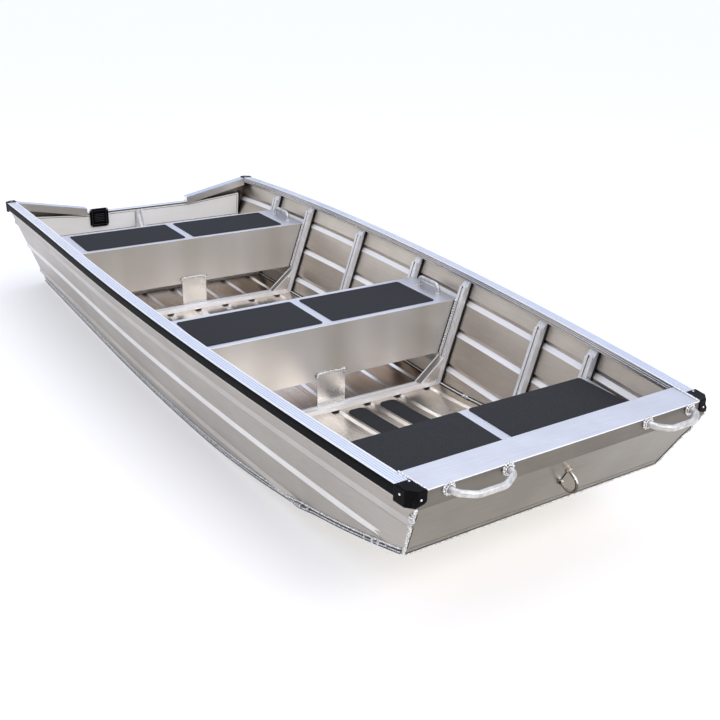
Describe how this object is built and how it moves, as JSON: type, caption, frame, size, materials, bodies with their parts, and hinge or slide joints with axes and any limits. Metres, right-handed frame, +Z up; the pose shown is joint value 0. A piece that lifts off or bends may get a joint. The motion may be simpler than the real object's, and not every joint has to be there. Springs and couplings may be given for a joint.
{
  "type": "flat-bottomed aluminium rowing boat",
  "caption": "Open welded aluminium rowing boat with a flat grooved bottom, ridged sides, a raked square bow, padded bench seats, pressed ribs and a notched transom.",
  "frame": {"origin": "on the ground, on the centreline, halfway along the whole boat", "axes": "+X runs forward to the bow, +Y to port, +Z up"},
  "size_m": [3.7396, 1.514, 0.5211],
  "materials": {
    "hull_aluminium": "mill finish sheet",
    "rail_aluminium": "extruded, satin",
    "rib_aluminium": "brushed extrusion",
    "bench_aluminium": "mill finish sheet",
    "tube_aluminium": "brushed bar",
    "black_rubber": "satin black",
    "black_plastic": "satin black",
    "grey_foam": "matt anti-slip sheet"
  },
  "bodies": {
    "root": {"bottom_plate": "hull_aluminium", "hull_side_port": "hull_aluminium", "hull_side_starboard": "hull_aluminium", "transom_plate": "hull_aluminium", "bow_plate": "hull_aluminium", "gunwale_port": "rail_aluminium", "gunwale_starboard": "rail_aluminium", "rub_strip_port": "black_rubber", "rub_strip_starboard": "black_rubber", "corner_cap_bow_port": "black_plastic", "corner_cap_bow_starboard": "black_plastic", "corner_cap_stern_port": "black_plastic", "corner_cap_stern_starboard": "black_plastic", "side_ribs_port": "rib_aluminium", "side_ribs_starboard": "rib_aluminium", "floor_ribs": "rib_aluminium", "chine_gussets": "rib_aluminium", "stern_bench": "bench_aluminium", "middle_bench": "bench_aluminium", "bow_bench": "bench_aluminium", "stern_pad_port": "grey_foam", "stern_pad_starboard": "grey_foam", "middle_pad_port": "grey_foam", "middle_pad_starboard": "grey_foam", "bow_pad_port": "grey_foam", "bow_pad_starboard": "grey_foam", "bow_deck": "rail_aluminium", "transom_rail": "rail_aluminium", "transom_doubler": "bench_aluminium", "transom_knee": "rib_aluminium", "motor_clamp_pad": "black_plastic", "bench_grab_handles": "tube_aluminium", "bow_handles_and_eye": "tube_aluminium", "stern_bench_bracket": "rib_aluminium", "middle_bench_bracket": "rib_aluminium", "floor_pads": "grey_foam", "drain_bung": "black_plastic"}
  },
  "joints": []
}
